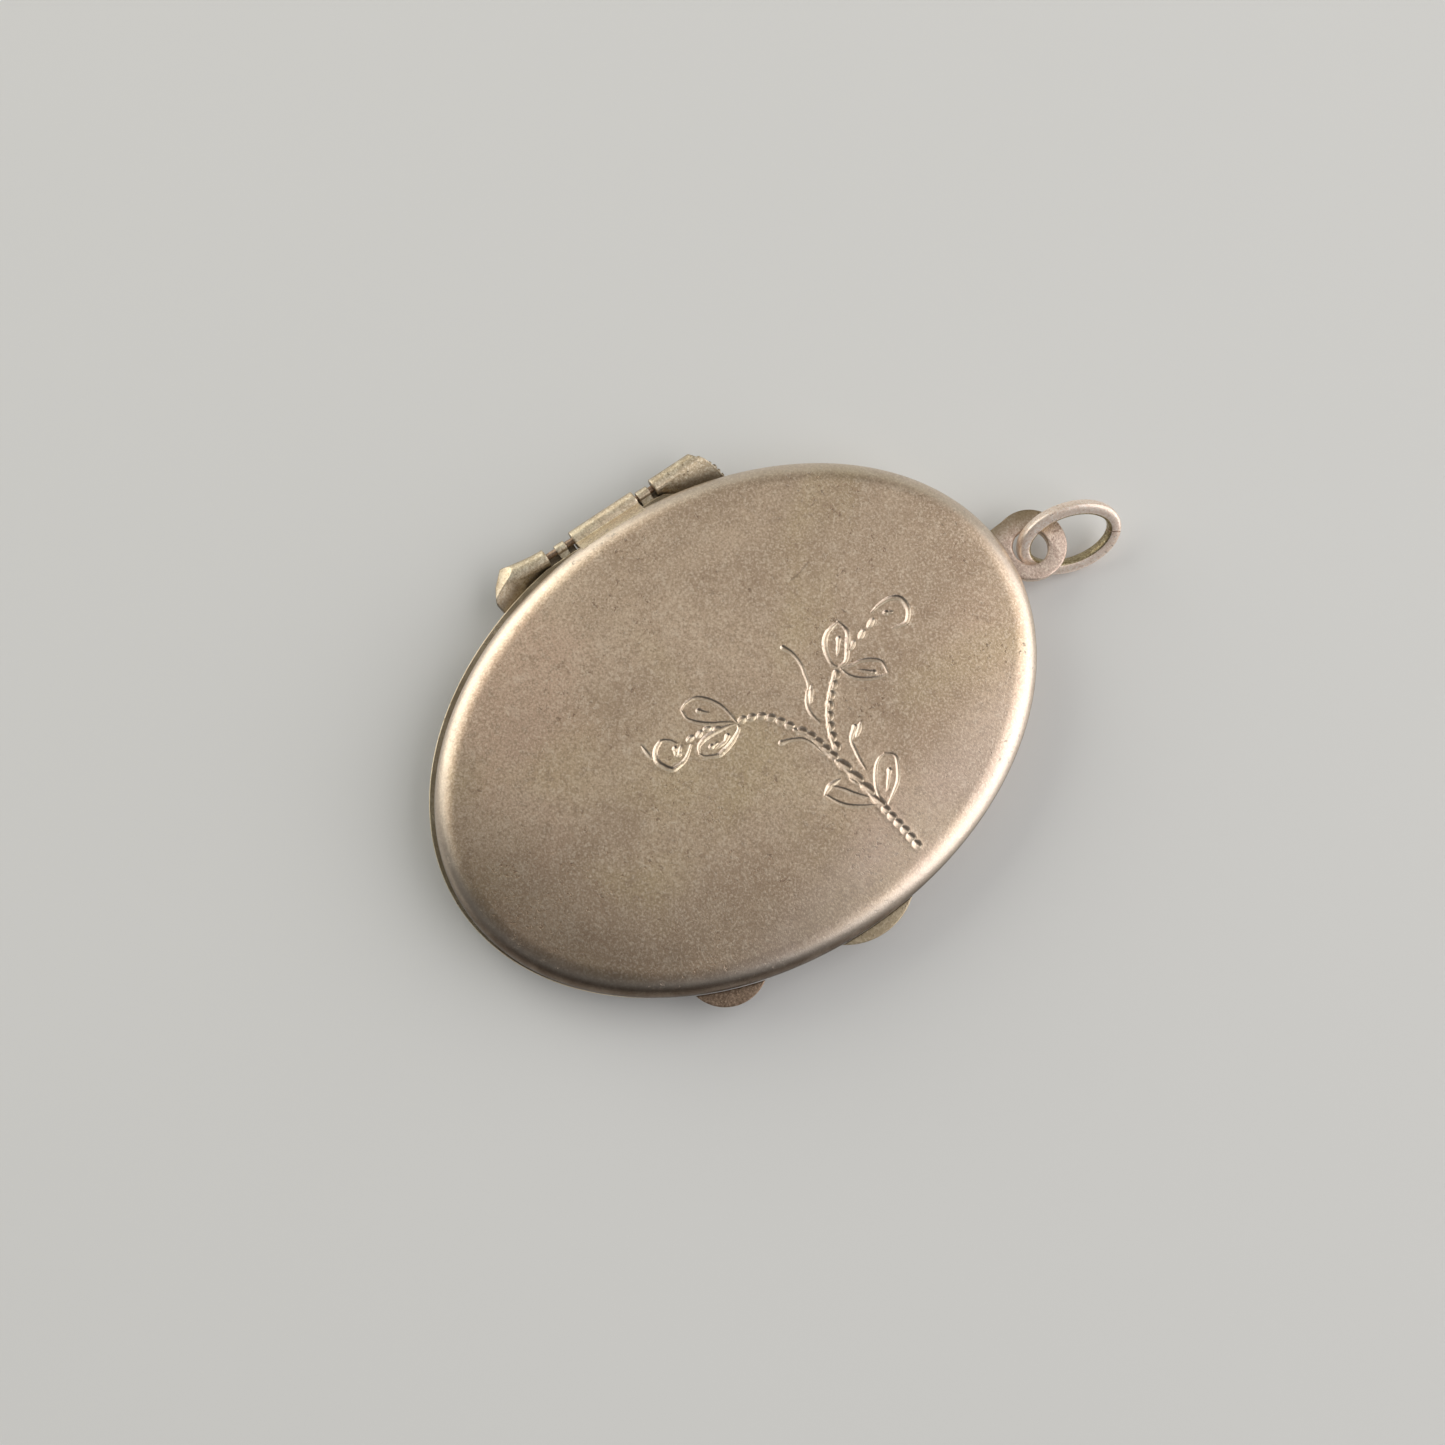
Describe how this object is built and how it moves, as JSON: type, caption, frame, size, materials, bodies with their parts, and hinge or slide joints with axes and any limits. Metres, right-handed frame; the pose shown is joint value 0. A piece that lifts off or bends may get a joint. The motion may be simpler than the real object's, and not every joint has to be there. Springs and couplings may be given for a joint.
{
  "type": "oval picture locket",
  "caption": "Oval hinged picture locket with an inner picture leaf, thumb tabs, an eye lug and an oval jump ring; the covers and leaf open like a book.",
  "frame": {"origin": "centre of the rear cover's flat back face", "axes": "+Z out of the front cover, +Y along the oval towards the lug and ring, +X away from the hinge"},
  "size_m": [0.0317, 0.0477, 0.0045],
  "materials": {
    "gilt_metal": "satin, tarnished",
    "dark_metal": "dark tarnish",
    "rose_metal": "worn satin",
    "picture_card": "matt card",
    "clear_sheet": "clear"
  },
  "bodies": {
    "rear_cover": {"rear_cover_shell": "gilt_metal", "rear_knuckle_left": "gilt_metal", "rear_knuckle_right": "gilt_metal", "hinge_pin": "dark_metal", "bail_lug": "rose_metal", "rear_picture": "picture_card", "rear_glazing": "clear_sheet", "rear_bezel": "rose_metal"},
    "leaf": {"leaf_plate": "gilt_metal", "leaf_barrel_left": "gilt_metal", "leaf_barrel_right": "gilt_metal", "leaf_thumb_tab": "dark_metal", "leaf_front_rim": "gilt_metal", "leaf_rear_rim": "gilt_metal", "leaf_front_picture": "picture_card", "leaf_rear_picture": "picture_card", "leaf_front_glazing": "clear_sheet", "leaf_rear_glazing": "clear_sheet", "leaf_front_bezel": "rose_metal", "leaf_rear_bezel": "rose_metal"},
    "front_cover": {"front_cover_shell": "gilt_metal", "front_knuckle": "gilt_metal", "front_thumb_tab": "gilt_metal", "front_picture": "picture_card", "front_glazing": "clear_sheet", "front_bezel": "rose_metal"},
    "jump_ring": {"jump_ring": "rose_metal"}
  },
  "joints": [
    {"name": "leaf_hinge", "type": "hinge", "parent": "rear_cover", "child": "leaf", "pos_m": [-0.01565, 0.00053, 0.00225], "axis": [0, -1, 0], "range_deg": [0, 70]},
    {"name": "front_hinge", "type": "hinge", "parent": "leaf", "child": "front_cover", "pos_m": [-0.01565, 0.00053, 0.00225], "axis": [0, -1, 0], "range_deg": [0, 110]},
    {"name": "ring_turn", "type": "hinge", "parent": "rear_cover", "child": "jump_ring", "pos_m": [0.0019, 0.02423, 0.00184], "axis": [0.2999, 0.9513, 0.0715], "range_deg": [0, 90]}
  ]
}
